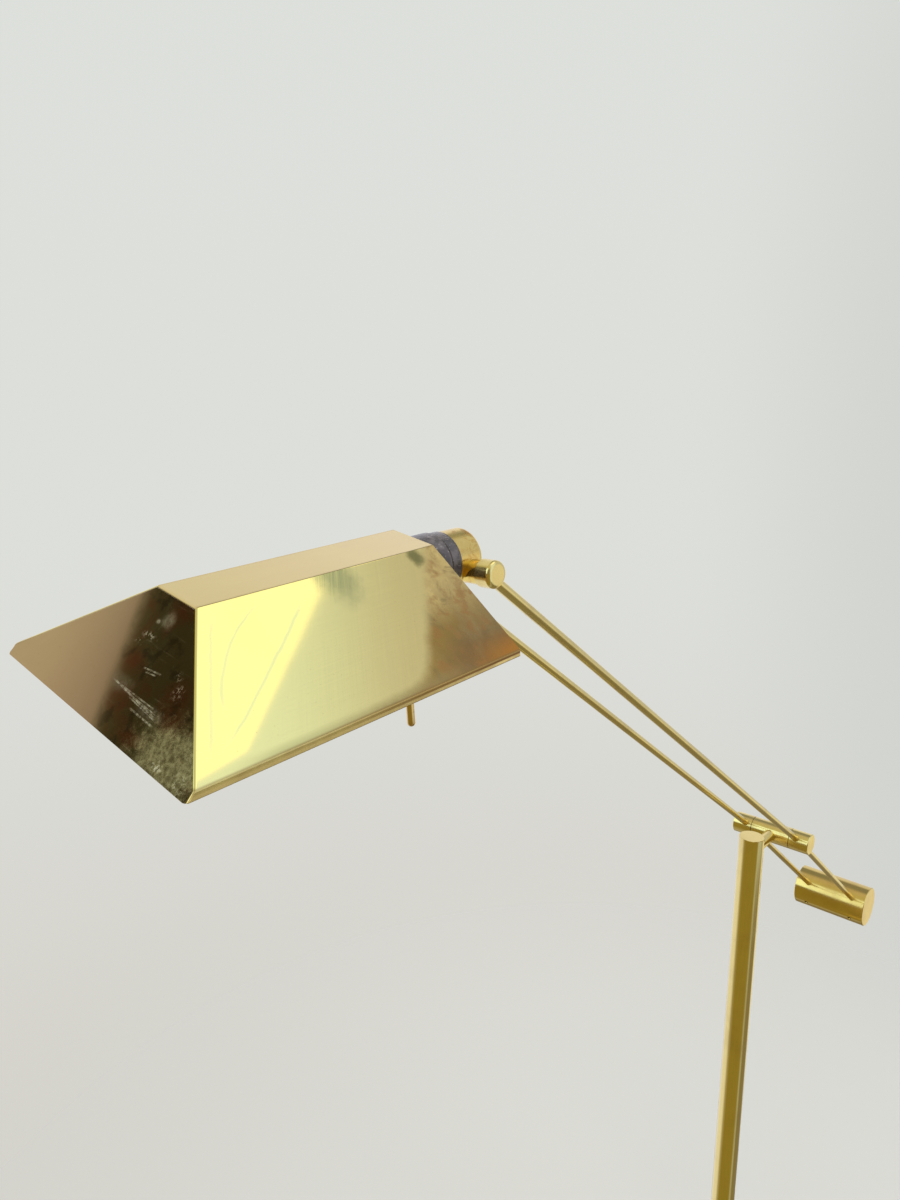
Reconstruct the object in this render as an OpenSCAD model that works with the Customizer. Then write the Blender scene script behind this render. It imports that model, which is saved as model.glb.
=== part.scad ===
// Counterbalance floor lamp: a round weighted foot, a plain tube post, a tilting
// pair of rods with a cylindrical counterweight, and a folded sheet shade that
// tilts on a cross barrel and rolls about its lampholder.
// +X is the side the lamp reaches to, +Z is up, the origin is on the floor
// under the middle of the post. Millimetres and degrees.

/* [Foot] */
// Diameter of the foot
base_d = 280; // [240:5:340]
// Height of the foot above the floor
base_h = 22; // [20:1:30]
// Radius of the foot's upper edge
base_edge = 8; // [4:1:10]
// Diameter of the flange around the bottom of the post
bush_flange_d = 62; // [50:1:80]

/* [Post] */
// Outer diameter of the post tube
post_d = 30; // [30:0.5:36]
// Wall of the post tube
post_wall = 1.5; // [1:0.25:2]
// Height of the flat top of the post
post_top = 900; // [700:10:1100]

/* [Crossbar] */
// Diameter of the crossbar behind the post
bar_d = 26.5; // [24:0.5:28]
// How far the crossbar axis sits behind the post axis
bar_back = 69; // [60:1:90]
// How far the crossbar axis sits below the post top
bar_drop = 21; // [18:0.5:40]
// Diameter of the tilt axle inside the crossbar
axle_d = 10; // [8:0.5:11]
// Width of each crossbar end collar
bar_collar_w = 24; // [20:0.5:26]
// How far each crossbar collar reaches beyond its rod axis
bar_over = 16; // [10:0.5:16]

/* [Arm] */
// Diameter of the rods
rod_d = 8; // [6:0.5:9]
// Distance between the two rod axes
rod_gap = 66; // [64:1:80]
// Crossbar axis to head barrel axis
arm_l = 752.7; // [600:0.1:900]
// Rise of the front rods above level
arm_angle = 34.54; // [20:0.02:60]
// Crossbar axis to counterweight axis
rear_l = 358; // [280:1:420]
// Fall of the rear rods below level
rear_angle = 37.2; // [20:0.1:64]
// Diameter of the counterweight
weight_d = 60; // [45:1:64]
// Length of the counterweight
weight_l = 104; // [96:1:130]

/* [Head] */
// Diameter of the cross barrel
barrel_d = 16.5; // [14:0.5:17.5]
// Height of the barrel axis above the plane of the front rods
rod_up = 2; // [0:0.5:3]
// Diameter of the collars at the ends of the barrel
head_collar_d = 19; // [18:0.5:20.5]
// Rounding of the outer edges of the head collars
head_collar_r = 3.2; // [1:0.1:4]
// Width of each head collar
head_collar_w = 12.5; // [11.5:0.5:14]
// Diameter of the pin through the barrel
head_axle_d = 8; // [6:0.5:8.5]
// Diameter of the brass cap behind the lampholder
cap_d = 38; // [36:0.5:39]
// Height of the lampholder axis above the barrel axis
socket_rise = 7.6; // [5:0.1:9]
// How far the nose of the head hangs below level
head_pitch = 4.6; // [-20:0.1:20]
// Diameter of the black flange on the lampholder
flange_d = 39; // [37:0.5:40]
// Diameter of the black ring that carries the shade
ring_d = 41; // [38:0.5:42]

/* [Shade] */
// Length of the shade along its lower edge
shade_l = 223; // [200:1:250]
// Width of the shade across its lower edges
shade_w = 176; // [150:1:190]
// Height of the shade with its lips
shade_h = 51; // [50:0.5:56]
// Width of the flat top
shade_top_w = 35.5; // [34:0.5:44]
// Setback of the top at the front end
front_set = 50.7; // [30:0.1:60]
// Setback of the top at the lampholder end
rear_set = 8.1; // [4:0.1:10]
// Height of the folded lip along each long edge
lip_h = 4.7; // [3:0.1:7]
// Sheet thickness
sheet = 1; // [0.8:0.1:1.2]
// Roll of the shade about the lampholder axis
shade_roll = -10.9; // [-30:0.1:30]

/* [Switch] */
// Diameter of the turning switch stem
stem_d = 5.5; // [4:0.5:6]
// Height of the stem tip below the lampholder axis
stem_drop = 105.5; // [60:0.5:120]

/* [Bulb] */
// Diameter of the tubular bulb
bulb_d = 30; // [26:1:32]
// Length of the glass beyond the lampholder
bulb_l = 94; // [60:1:110]

/* [Hidden] */
$fn = 96;
run = 0.03;                 // radial clearance of turning fits
seat = 0.05;                // radial clearance of fixed fits
gap = 0.12;                 // clearance between faces that slide past each other
rod_y = rod_gap / 2;
post_id = post_d - 2 * post_wall;
bar_z = post_top - bar_drop;
barrel_x = -bar_back + arm_l * cos(arm_angle) - rod_up * sin(arm_angle);
barrel_z = bar_z + arm_l * sin(arm_angle) + rod_up * cos(arm_angle);
sock_z = barrel_z + socket_rise;
bar_half = rod_y + bar_over;
tube_half = bar_half - bar_collar_w - 0.8;
head_half = rod_y + head_collar_w / 2;
barrel_half = rod_y - head_collar_w / 2 - 0.8;
shade_x = barrel_x + 31.9;  // lower rear edge of the shade
cap_r = shade_x - 43;       // back face of the cap
groove_x = shade_x - 11;    // joint between the flange and the shade ring
cap_f = groove_x - 9.5;     // front face of the cap
sock_h = 29.3;              // lampholder axis above the shade's lower edge
hole_d = 30.12;             // hole of the shade and its rings
neck_d = 30;                // lampholder neck
clip_x = shade_x + 10.6;    // retaining clip
stem_x = shade_x + 17;      // switch stem axis
shell_x = shade_x + 27.7;   // back of the screw shell
neck_f = shell_x + 28;      // open end of the lampholder
plate = 2;                  // pad thickness under the foot
cap_len = cap_f - cap_r;

// Shade cross-section: line of the sloping side, a*y + b*z = c
side_dy = (shade_w - shade_top_w) / 2;
side_dz = shade_h - lip_h;
side_n = sqrt(side_dy * side_dy + side_dz * side_dz);
side_a = side_dz / side_n;
side_b = side_dy / side_n;
side_c = side_a * shade_w / 2 + side_b * lip_h;
in_w = shade_w / 2 - sheet;
in_fold = (side_c - sheet - side_a * in_w) / side_b;
in_top = (side_c - sheet - side_b * (shade_h - sheet)) / side_a;
front_t = sheet * sqrt(front_set * front_set + shade_h * shade_h) / shade_h;
rear_t = sheet * sqrt(rear_set * rear_set + shade_h * shade_h) / shade_h;

brass = "#d8b455";
brass_dark = "#b08a3c";
brass_aged = "#c2a45a";
black = "#26241f";
steel = "#9a9a98";
iron = "#4a4a4a";
felt = "#2f3a2f";
nylon = "#e6e2d6";
wire_col = "#d9d4c4";

// ---- shared shapes -------------------------------------------------------

// Cylinder along +Z with chamfered ends
module bar_z_cyl(d, l, c0 = 0, c1 = 0) {
    rotate_extrude() polygon([[0, 0], [d / 2 - c0, 0], [d / 2, c0],
        [d / 2, l - c1], [d / 2 - c1, l], [0, l]]);
}

// Cylinder along +Z with a chamfered foot and a rounded top edge
module button_z(d, l, c, e) {
    rotate_extrude() {
        polygon([[0, 0], [d / 2 - c, 0], [d / 2, c], [d / 2, l - e], [0, l - e]]);
        translate([0, l - e - 0.01]) square([d / 2 - e, e + 0.01]);
        intersection() {
            translate([d / 2 - e, l - e]) circle(e);
            translate([d / 2 - e - 0.01, l - e - 0.01]) square(e + 1);
        }
    }
}

// Ring along +Z with chamfered outer edges
module ring_z(d, id, l, c0 = 0, c1 = 0) {
    rotate_extrude() polygon([[id / 2, 0], [d / 2 - c0, 0], [d / 2, c0],
        [d / 2, l - c1], [d / 2 - c1, l], [id / 2, l]]);
}

// Lay a +Z shape along +X
module along_x() { rotate([0, 90, 0]) children(); }

// Lay a +Z shape along +Y
module along_y() { rotate([-90, 0, 0]) children(); }

// Places on the lamp
module at_bar() { translate([-bar_back, 0, bar_z]) children(); }
module at_front_arm() { at_bar() rotate([0, -arm_angle, 0]) children(); }
module at_barrel() { translate([barrel_x, 0, barrel_z]) children(); }
module at_head() {
    at_barrel() rotate([0, head_pitch, 0]) translate([-barrel_x, 0, -barrel_z]) children();
}
module at_socket(x = 0) { at_head() translate([x, 0, sock_z]) children(); }

// Frame of the shade: x as on the lamp, z = 0 on the lower edge
module at_shade() {
    at_head() translate([0, 0, sock_z]) rotate([shade_roll, 0, 0])
        translate([0, 0, -sock_h]) children();
}

// ---- foot ------------------------------------------------------------------

module foot_profile(r, h, e) {
    square([r - e, h]);
    square([r, h - e]);
    translate([r - e, h - e]) circle(e);
}

module base_pad() {
    color(felt) bar_z_cyl(base_d - 10, plate);
}

module base_weight() {
    color(iron) translate([0, 0, plate]) difference() {
        rotate_extrude() foot_profile(base_d / 2 - 2.2, base_h - plate - 2.2, base_edge - 2);
        translate([0, 0, -1]) cylinder(d = 20.2, h = base_h);
        translate([0, 0, -1]) cylinder(d = 46, h = 8);
        translate([-base_d / 2, -5, -1]) cube([base_d / 2 - 12, 10, 10.5]);
    }
}

module base_cover() {
    color(brass) translate([0, 0, plate]) difference() {
        rotate_extrude() foot_profile(base_d / 2, base_h - plate, base_edge);
        translate([0, 0, -0.001]) rotate_extrude()
            foot_profile(base_d / 2 - 1.8, base_h - plate - 1.8, base_edge - 1.8);
        cylinder(d = 20.2, h = base_h + 5);
        translate([-base_d / 2 - 5, 0, 4.5]) along_x() cylinder(d = 8.7, h = 20);
    }
}

// Flanged bush that the post turns in
module base_bush() {
    color(brass) difference() {
        union() {
            translate([0, 0, base_h]) bar_z_cyl(bush_flange_d, 4, 0, 1.2);
            translate([0, 0, 5]) cylinder(d = 20, h = base_h - 4);
        }
        translate([0, 0, -1]) cylinder(d = 14 + 2 * run, h = base_h + 10);
    }
}

module base_nut() {
    color(steel) difference() {
        translate([0, 0, 5]) cylinder(d = 32, h = 4, $fn = 6);
        cylinder(d = 20.1, h = 20);
    }
}

module cord_gland() {
    color(black) translate([-base_d / 2, 0, plate + 4.5]) difference() {
        union() {
            translate([-2.6, 0, 0]) along_x() bar_z_cyl(11.4, 2.5, 1, 0);
            translate([-0.2, 0, 0]) along_x() cylinder(d = 8.6, h = 7.2);
        }
        translate([-5, 0, 0]) along_x() cylinder(d = 6.4, h = 20);
    }
}

// Lead lying in the slot under the weight
module base_lead() {
    color(wire_col) translate([-base_d / 2 + 1, 0, plate + 4.5]) along_x()
        cylinder(d = 6, h = base_d / 2 - 26);
}

module swivel_washer() {
    color(nylon) translate([0, 0, base_h + 4])
        ring_z(post_d - 1, 14.6, 1);
}

// ---- post ------------------------------------------------------------------

post_z0 = base_h + 5 + gap;

module post_foot() {
    color(steel) difference() {
        union() {
            translate([0, 0, post_z0]) cylinder(d = post_id - 2 * seat, h = 32);
            translate([0, 0, 3.2]) cylinder(d = 14, h = post_z0 - 3);
        }
        translate([0, 0, 0]) cylinder(d = 8, h = 80);
        translate([0, 0, 3.9]) difference() {
            cylinder(d = 16, h = 1.3);
            translate([0, 0, -1]) cylinder(d = 12.6, h = 5);
        }
    }
}

module spindle_clip() {
    color(steel) translate([0, 0, 3.95]) difference() {
        cylinder(d = 19, h = 0.9);
        translate([0, 0, -1]) cylinder(d = 12.7, h = 4);
        translate([0, -4, -1]) cube([20, 8, 4]);
    }
}

module post_tube() {
    color(brass) difference() {
        translate([0, 0, post_z0]) cylinder(d = post_d, h = post_top - 4 - post_z0);
        translate([0, 0, -1]) cylinder(d = post_id, h = post_top + 10);
        translate([-post_d, 0, bar_z]) along_x() cylinder(d = 12 + 2 * seat, h = post_d);
    }
}

module post_top_plug() {
    color(brass) difference() {
        union() {
            translate([0, 0, post_top - 4]) bar_z_cyl(post_d, 4, 0, 0.4);
            translate([0, 0, bar_z - 22]) cylinder(d = post_id - 2 * seat, h = bar_drop + 18.5);
        }
        translate([0, 0, bar_z - 30]) cylinder(d = 9, h = 33);
        translate([-post_d, 0, bar_z]) along_x() cylinder(d = 12 + 2 * seat, h = post_d - 5);
    }
}

module post_cable() {
    color(wire_col) translate([0, 0, 6]) cylinder(d = 6, h = bar_z - 12);
}

// Short hollow neck that carries the crossbar behind the post
module pivot_neck() {
    color(brass) difference() {
        union() {
            difference() {
                translate([-bar_back, 0, bar_z]) along_x() cylinder(d = 15, h = bar_back);
                translate([0, 0, bar_z - 30]) cylinder(d = post_d, h = 60);
                translate([-bar_back, -20, bar_z]) along_y() cylinder(d = bar_d, h = 40);
            }
            translate([-post_d / 2 - 2, 0, bar_z]) along_x() cylinder(d = 12, h = post_d / 2 - 3.1);
            translate([-bar_back + bar_d / 2 - 3, 0, bar_z]) along_x() cylinder(d = 10, h = 5);
        }
        translate([-bar_back, 0, bar_z]) along_x() cylinder(d = 6.5, h = bar_back + 20);
    }
}

// Fixed middle of the crossbar
module pivot_tube() {
    color(brass) at_bar() difference() {
        translate([0, -tube_half, 0]) along_y() cylinder(d = bar_d, h = 2 * tube_half);
        translate([0, -50, 0]) along_y() cylinder(d = bar_d - 6, h = 100);
        translate([0, 0, 0]) along_x() cylinder(d = 10 + 2 * seat, h = bar_d);
    }
}

// Flanged bushes at the ends of the crossbar's middle tube
module pivot_bushes() {
    color(nylon) at_bar() for (s = [0, 180]) rotate([0, 0, s]) difference() {
        union() {
            translate([0, tube_half, 0]) along_y() cylinder(d = bar_d - 1, h = 0.8 - gap);
            translate([0, tube_half - 9, 0]) along_y() cylinder(d = bar_d - 6 - 2 * seat, h = 9.4);
        }
        along_y() cylinder(d = axle_d + 2 * run, h = 60);
    }
}

// ---- tilting arm -------------------------------------------------------------

module pivot_axle() {
    color(steel) at_bar() translate([0, -bar_half + 3, 0]) along_y()
        bar_z_cyl(axle_d, 2 * bar_half - 6, 0.5, 0.5);
}

module arm_collar(s) {
    at_bar() difference() {
        translate([0, s > 0 ? bar_half - bar_collar_w : -bar_half, 0]) along_y()
            bar_z_cyl(bar_d, bar_collar_w, s > 0 ? 0 : 0.8, s > 0 ? 0.8 : 0);
        translate([0, s > 0 ? 0 : -bar_half + 3, 0]) along_y()
            cylinder(d = axle_d + 2 * seat, h = bar_half - 3);
        rotate([0, -arm_angle, 0]) translate([axle_d / 2 + 1.5, s * rod_y, 0])
            along_x() cylinder(d = rod_d + 2 * seat, h = 20);
        rotate([0, 180 - rear_angle, 0]) translate([axle_d / 2 + 1.5, s * rod_y, 0])
            along_x() cylinder(d = rod_d + 2 * seat, h = 20);
    }
}

module arm_collar_left() { color(brass) arm_collar(-1); }
module arm_collar_right() { color(brass) arm_collar(1); }

// Hollow front rod, from the crossbar collar to the head collar
module front_rod(s) {
    l0 = axle_d / 2 + 1.5;
    l1 = arm_l - head_axle_d / 2 - 1.2;
    at_front_arm() translate([l0, s * rod_y, 0]) along_x() difference() {
        cylinder(d = rod_d, h = l1 - l0);
        translate([0, 0, -1]) cylinder(d = rod_d - 2.2, h = arm_l);
    }
}

module front_rod_left() { color(brass) front_rod(-1); }
module front_rod_right() { color(brass) front_rod(1); }

// Rear rod, from the crossbar collar into the counterweight
module rear_rod(s) {
    l0 = axle_d / 2 + 1.5;
    at_bar() rotate([0, 180 - rear_angle, 0]) translate([l0, s * rod_y, 0])
        along_x() cylinder(d = rod_d, h = rear_l - l0);
}

module rear_rod_left() { color(brass) rear_rod(-1); }
module rear_rod_right() { color(brass) rear_rod(1); }

// Places across the counterweight: x runs down the rear rods, y along the weight
module at_weight() { at_bar() rotate([0, 180 - rear_angle, 0]) children(); }

// Rod and screw holes of the counterweight
module weight_holes() {
    for (s = [-1, 1]) {
        translate([rear_l - weight_d, s * rod_y, 0]) along_x()
            cylinder(d = rod_d + 2 * seat, h = weight_d);
        translate([rear_l - 11, s * rod_y, 0]) cylinder(d = 5, h = weight_d);
    }
}

// Drawn sleeve of the counterweight, closed at one end
module counterweight() {
    color(brass) at_weight() difference() {
        translate([rear_l, -weight_l / 2, 0]) along_y() rotate_extrude()
            polygon([[weight_d / 2 - 2, 0], [weight_d / 2 - 0.8, 0], [weight_d / 2, 0.8],
                [weight_d / 2, weight_l - 0.8], [weight_d / 2 - 0.8, weight_l],
                [0, weight_l], [0, weight_l - 2], [weight_d / 2 - 2, weight_l - 2]]);
        weight_holes();
    }
}

// Disc that closes the sleeve's open end
module weight_lid() {
    color(brass) at_weight() translate([rear_l, -weight_l / 2, 0]) along_y()
        bar_z_cyl(weight_d - 4 - 2 * seat, 2, 0.3, 0);
}

module weight_core() {
    color(iron) at_weight() difference() {
        translate([rear_l, -weight_l / 2 + 2.1, 0]) along_y()
            bar_z_cyl(weight_d - 4 - 2 * seat, weight_l - 4.2, 0.5, 0.5);
        weight_holes();
    }
}

// Headless screws that clamp the counterweight on the rear rods
module weight_screws() {
    color(steel) at_weight() for (s = [-1, 1])
        translate([rear_l - 11, s * rod_y, rod_d / 2 + 0.02]) difference() {
            bar_z_cyl(5 - 2 * seat, 9, 0.4, 0.4);
            translate([0, 0, 6]) cylinder(d = 2.9, h = 5, $fn = 6);
        }
}

// One conductor inside each front rod
module arm_wires() {
    color(wire_col) at_front_arm() for (s = [-1, 1])
        translate([12, s * rod_y, 0]) along_x() cylinder(d = 3.2, h = arm_l - 24);
}

module head_collar(s) {
    at_barrel() difference() {
        rotate([0, 0, s > 0 ? 0 : 180]) translate([0, rod_y - head_collar_w / 2, 0])
            along_y() button_z(head_collar_d, head_collar_w, 0.3, head_collar_r);
        translate([0, s > 0 ? 0 : -head_half + 2.5, 0]) along_y()
            cylinder(d = head_axle_d + 2 * seat, h = head_half - 2.5);
        rotate([0, 180 - arm_angle, 0]) translate([head_axle_d / 2 + 1.2, s * rod_y, rod_up])
            along_x() cylinder(d = rod_d + 2 * seat, h = 20);
    }
}

module head_collar_left() { color(brass) head_collar(-1); }
module head_collar_right() { color(brass) head_collar(1); }

module head_axle() {
    color(steel) at_barrel() translate([0, -head_half + 2.5, 0]) along_y() difference() {
        bar_z_cyl(head_axle_d, 2 * head_half - 5, 0.4, 0.4);
        translate([0, 0, -1]) cylinder(d = 4, h = 2 * head_half);
    }
}

// ---- tilting head -------------------------------------------------------------

module head_washers() {
    color(nylon) at_barrel() for (s = [0, 180]) rotate([0, 0, s])
        translate([0, barrel_half, 0]) along_y()
            ring_z(barrel_d - 0.6, head_axle_d + 2 * run, 0.8 - gap);
}

module head_barrel() {
    color(brass) at_barrel() translate([0, -barrel_half, 0]) along_y() difference() {
        bar_z_cyl(barrel_d, 2 * barrel_half, 0.25, 0.25);
        translate([0, 0, -1]) cylinder(d = head_axle_d + 2 * run, h = 3 * barrel_half);
    }
}

// Brass cap with a rounded back, crossed by the barrel
module socket_cap() {
    color(brass) difference() {
        at_socket(cap_r) along_x() rotate_extrude() difference() {
            union() {
                square([cap_d / 2 - 5, cap_len]);
                translate([0, 5]) square([cap_d / 2, cap_len - 5]);
                translate([cap_d / 2 - 5, 5]) circle(5);
            }
            translate([0, 3]) square([cap_d / 2 - 3, cap_len]);
        }
        at_barrel() translate([0, -40, 0]) along_y() cylinder(d = barrel_d + 2 * seat, h = 80);
    }
}

// Lampholder: outer flange, neck through the shade, room for the switch behind
// the screw shell
module lamp_holder() {
    color(black) difference() {
        union() {
            at_socket(cap_f) along_x() bar_z_cyl(flange_d, groove_x - cap_f, 0.4, 1.1);
            at_socket(cap_f) along_x() bar_z_cyl(neck_d, neck_f - cap_f, 0, 0.8);
        }
        at_socket(cap_f - 1) along_x() cylinder(d = 22, h = shell_x - cap_f - 4);
        at_socket(shell_x - 3.2) along_x() cylinder(d = 27.6, h = 60);
        at_socket(shell_x - 8) along_x() cylinder(d = 3.1, h = 10);
        at_socket(stem_x) translate([0, 0, -30]) cylinder(d = stem_d + 2 * run, h = 30);
        at_socket(clip_x) along_x() difference() {
            cylinder(d = neck_d + 4, h = 1.7);
            translate([0, 0, -1]) cylinder(d = neck_d - 2, h = 5);
        }
    }
}

// Split ring that keeps the shade on the neck
module retaining_clip() {
    color(steel) at_socket(clip_x + 0.1) along_x() difference() {
        cylinder(d = 34.4, h = 1.5);
        translate([0, 0, -1]) cylinder(d = neck_d - 2 + 2 * seat, h = 5);
        translate([0, -5, -1]) cube([30, 10, 5]);
    }
}

module switch_body() {
    color("#5a3a22") at_socket(stem_x) difference() {
        translate([-6, -7, -6.5]) cube([11.7, 14, 13]);
        translate([0, 0, -20]) cylinder(d = stem_d + 2 * run, h = 20);
    }
}

// Turning stem with a rounded tip
module switch_stem() {
    color(brass) at_socket(stem_x) {
        translate([0, 0, -stem_drop + stem_d / 2]) cylinder(d = stem_d, h = stem_drop - stem_d / 2 - 0.2);
        translate([0, 0, -stem_drop + stem_d / 2]) sphere(d = stem_d);
    }
}

module contact_disc() {
    color(nylon) at_socket(shell_x - 3.1) along_x() difference() {
        cylinder(d = 27.4, h = 3);
        translate([0, 0, -1]) cylinder(d = 3, h = 6);
    }
}

// Centre contact: a rivet and a sprung button
module centre_contact() {
    color(brass) at_socket(shell_x - 4.4) along_x() {
        cylinder(d = 2.9, h = 4.4);
        translate([0, 0, 4.35]) cylinder(d = 8, h = 0.8);
    }
}

module screw_shell() {
    color(brass) at_socket(shell_x) along_x() difference() {
        cylinder(d = 27.4, h = 27);
        translate([0, 0, -1]) cylinder(d = 26.6, h = 40);
    }
}

// Two leads between the cap and the switch
module holder_leads() {
    color(wire_col) for (s = [-1, 1])
        at_socket(cap_r + 12) translate([0, s * 5, 5]) along_x() cylinder(d = 2.4, h = stem_x - 6 - cap_r - 12.1);
}

// Screw cap of the bulb, with rounded thread crests
module bulb_cap() {
    color(brass_dark) at_socket(shell_x + 1) along_x() difference() {
        union() {
            cylinder(d1 = 13, d2 = 24, h = 3.6);
            translate([0, 0, 3.5]) cylinder(d = 24.6, h = 22);
            for (i = [0:4]) translate([0, 0, 6 + i * 3.6])
                rotate_extrude() translate([12, 0]) circle(0.9);
        }
        translate([0, 0, 4.6]) cylinder(d = 22.6, h = 40);
    }
}

module bulb_profile(o) {
    translate([0, 0]) square([10.8 - o, 18]);
    polygon([[0, 17.9], [10.8 - o, 17.9], [bulb_d / 2 - o, 30], [bulb_d / 2 - o, 30.1], [0, 30.1]]);
    translate([0, 30]) square([bulb_d / 2 - o, bulb_l - 30 - bulb_d / 2 + 14]);
    intersection() {
        translate([0, bulb_l - bulb_d / 2 + 14]) circle(bulb_d / 2 - o);
        translate([0, bulb_l - bulb_d / 2 + 13.9]) square([50, 50]);
    }
}

// Tubular glass, open at its neck inside the screw cap
module bulb_glass() {
    color("#f2efe4") at_socket(neck_f - 14) along_x() rotate_extrude() difference() {
        bulb_profile(0);
        translate([0, -0.1]) bulb_profile(0.8);
    }
}

// ---- shade ------------------------------------------------------------------

// Side view of the shade, offset inwards at both ends
module shade_side(f = 0, r = 0) {
    rotate([90, 0, 0]) linear_extrude(height = 2 * shade_w, center = true)
        polygon([[shade_x + r, 0], [shade_x + shade_l - f, 0],
            [shade_x + shade_l - front_set - f, shade_h], [shade_x + rear_set + r, shade_h]]);
}

module shade_section(pts) {
    translate([shade_x - 5, 0, 0]) rotate([90, 0, 90])
        linear_extrude(height = shade_l + 10) polygon(pts);
}

inner_pts = [[in_w, 0], [in_w, in_fold], [in_top, shade_h - sheet],
    [-in_top, shade_h - sheet], [-in_w, in_fold], [-in_w, 0]];
outer_pts = [[shade_w / 2, 0], [shade_w / 2, lip_h], [shade_top_w / 2, shade_h],
    [-shade_top_w / 2, shade_h], [-shade_w / 2, lip_h], [-shade_w / 2, 0]];

// Folded sheet: two lips, two sloping sides and the flat top
module shade_shell() {
    color(brass_aged) at_shade() intersection() {
        shade_section(concat(outer_pts, [for (i = [5:-1:0]) inner_pts[i]]));
        shade_side();
    }
}

module shade_front_panel() {
    color(brass_aged) at_shade() difference() {
        intersection() {
            shade_section(inner_pts);
            shade_side();
        }
        shade_side(front_t, -40);
    }
}

module shade_rear_panel() {
    color(brass_aged) difference() {
        at_shade() difference() {
            intersection() {
                shade_section(inner_pts);
                shade_side();
            }
            shade_side(-40, rear_t);
        }
        at_socket(shade_x - 10) along_x() cylinder(d = hole_d, h = 40);
    }
}

// Space behind (k = -1) or in front of (k = 1) the plane of the rear panel
module rear_space(k, off) {
    m = rear_set / shade_h;
    rotate([90, 0, 0]) linear_extrude(height = 200, center = true)
        polygon([[shade_x + off - 60 * m, -60], [shade_x + off + 120 * m, 120],
            [shade_x + off + k * 80, 120], [shade_x + off + k * 80, -60]]);
}

// Black ring between the lampholder flange and the shade
module shade_ring_outer() {
    color(black) intersection() {
        at_socket(groove_x + gap) along_x() ring_z(ring_d, hole_d, 40, 1.1, 0);
        at_shade() rear_space(-1, 0);
    }
}

// Packing ring inside the shade
module shade_ring_inner() {
    color(black) intersection() {
        at_socket(shade_x - 8) along_x() ring_z(34.4, hole_d, clip_x - shade_x + 8, 0, 0.4);
        at_shade() rear_space(1, rear_t);
    }
}

// ---- assembly -----------------------------------------------------------------

base_pad();
base_weight();
base_cover();
base_bush();
base_nut();
cord_gland();
base_lead();
swivel_washer();
post_foot();
spindle_clip();
post_tube();
post_top_plug();
post_cable();
pivot_neck();
pivot_tube();
pivot_bushes();
pivot_axle();
arm_collar_left();
arm_collar_right();
front_rod_left();
front_rod_right();
rear_rod_left();
rear_rod_right();
counterweight();
weight_lid();
weight_core();
weight_screws();
arm_wires();
head_collar_left();
head_collar_right();
head_axle();
head_washers();
head_barrel();
socket_cap();
lamp_holder();
retaining_clip();
switch_body();
switch_stem();
contact_disc();
centre_contact();
screw_shell();
holder_leads();
bulb_cap();
bulb_glass();
shade_shell();
shade_front_panel();
shade_rear_panel();
shade_ring_outer();
shade_ring_inner();
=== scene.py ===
import math

import bpy
from mathutils import Matrix, Vector

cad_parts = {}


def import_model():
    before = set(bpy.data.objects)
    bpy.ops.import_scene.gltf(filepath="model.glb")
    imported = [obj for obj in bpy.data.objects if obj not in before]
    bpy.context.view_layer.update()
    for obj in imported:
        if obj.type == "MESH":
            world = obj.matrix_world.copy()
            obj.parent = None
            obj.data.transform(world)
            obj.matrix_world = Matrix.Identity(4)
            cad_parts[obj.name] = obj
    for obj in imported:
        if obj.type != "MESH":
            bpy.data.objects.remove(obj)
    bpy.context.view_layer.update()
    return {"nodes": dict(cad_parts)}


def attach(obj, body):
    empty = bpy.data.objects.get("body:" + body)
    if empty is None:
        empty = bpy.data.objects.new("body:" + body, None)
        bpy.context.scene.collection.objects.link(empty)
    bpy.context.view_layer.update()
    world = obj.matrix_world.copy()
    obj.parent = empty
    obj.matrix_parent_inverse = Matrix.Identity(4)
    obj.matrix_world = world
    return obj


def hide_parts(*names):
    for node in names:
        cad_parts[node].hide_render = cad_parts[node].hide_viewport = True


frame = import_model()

NODES = frame["nodes"]
scene = bpy.context.scene
MM = 0.001

# ---------------------------------------------------------------- sizes, in mm
SHADE_L, SHADE_W, SHADE_H = 223.0, 176.0, 51.0
TOP_W, FRONT_SET, REAR_SET, LIP_H = 35.5, 50.7, 8.1, 4.7
SHEET = 1.0
BARREL = (549.888, 0.0, 1307.414)  # tilt axis of the head
SHADE_X = 581.788  # rear lower edge of the shade, before the head's tilt
AXIS_Z = 1315.014  # lampholder axis, before the head's tilt
AXIS_UP = 29.3  # the axis above the shade's lower edge
PITCH = math.radians(4.6)  # the nose hangs slightly
ROLL = math.radians(-10.9)  # the shade hangs slightly turned on its ring

HEAD = (
    Matrix.Translation(BARREL)
    @ Matrix.Rotation(PITCH, 4, "Y")
    @ Matrix.Translation([-v for v in BARREL])
)
SHADE = (
    HEAD
    @ Matrix.Translation((SHADE_X, 0, AXIS_Z))
    @ Matrix.Rotation(ROLL, 4, "X")
    @ Matrix.Translation((0, 0, -AXIS_UP))
)


def to_row(x, y, z):
    """A point of the shade's own frame (mm) in the row frame (m)."""
    return (SHADE @ Vector((x, y, z))) * MM


def turn(x, y, z):
    """A direction of the shade's own frame in the row frame."""
    return (SHADE.to_3x3() @ Vector((x, y, z))).normalized()


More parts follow.
